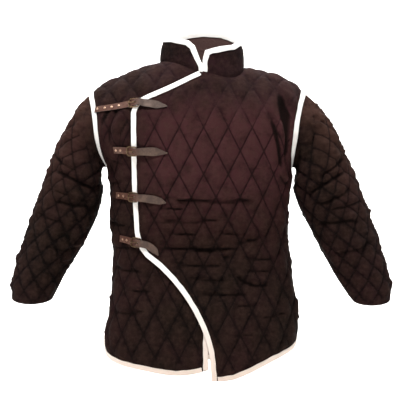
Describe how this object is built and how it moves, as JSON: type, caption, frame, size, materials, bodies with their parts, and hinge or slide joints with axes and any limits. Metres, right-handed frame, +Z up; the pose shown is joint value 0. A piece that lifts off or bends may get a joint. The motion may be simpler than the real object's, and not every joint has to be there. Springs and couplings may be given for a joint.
{
  "type": "gambeson",
  "caption": "Padded quilted jacket, filled out and hollow, with stand collar, set-in sleeves, side vents and a lapped front closed by buckled leather straps.",
  "frame": {"origin": "between the shoulders at the base of the neck, on the garment's middle line, where the wearer's shoulders carry it", "axes": "+Z up, the front faces -Y, +X to the wearer's left"},
  "size_m": [1.0059, 0.3133, 0.9195],
  "materials": {
    "quilted_cotton": "dark brown padded cotton, quilted",
    "cotton_tape": "white folded cotton binding tape",
    "strap_leather": "brown strap leather",
    "antique_brass": "dark antique"
  },
  "bodies": {
    "root": {"back": "quilted_cotton", "binding_armhole_left": "cotton_tape", "binding_armhole_right": "cotton_tape", "binding_back_hem": "cotton_tape", "binding_collar": "cotton_tape", "binding_outer_edge": "cotton_tape", "binding_outer_hem": "cotton_tape", "binding_under_edge": "cotton_tape", "binding_under_hem": "cotton_tape", "buckle_1": "antique_brass", "buckle_2": "antique_brass", "buckle_3": "antique_brass", "buckle_4": "antique_brass", "chape_1": "strap_leather", "chape_2": "strap_leather", "chape_3": "strap_leather", "chape_4": "strap_leather", "collar": "quilted_cotton", "front_outer": "quilted_cotton", "front_under": "quilted_cotton", "prong_1": "antique_brass", "prong_2": "antique_brass", "prong_3": "antique_brass", "prong_4": "antique_brass", "rivet_1_1": "antique_brass", "rivet_1_2": "antique_brass", "rivet_1_3": "antique_brass", "rivet_1_4": "antique_brass", "rivet_2_1": "antique_brass", "rivet_2_2": "antique_brass", "rivet_3_1": "antique_brass", "rivet_3_2": "antique_brass", "rivet_4_1": "antique_brass", "rivet_4_2": "antique_brass", "sleeve_left": "quilted_cotton", "sleeve_right": "quilted_cotton", "strap_1": "strap_leather", "strap_2": "strap_leather", "strap_3": "strap_leather", "strap_4": "strap_leather"}
  },
  "joints": []
}
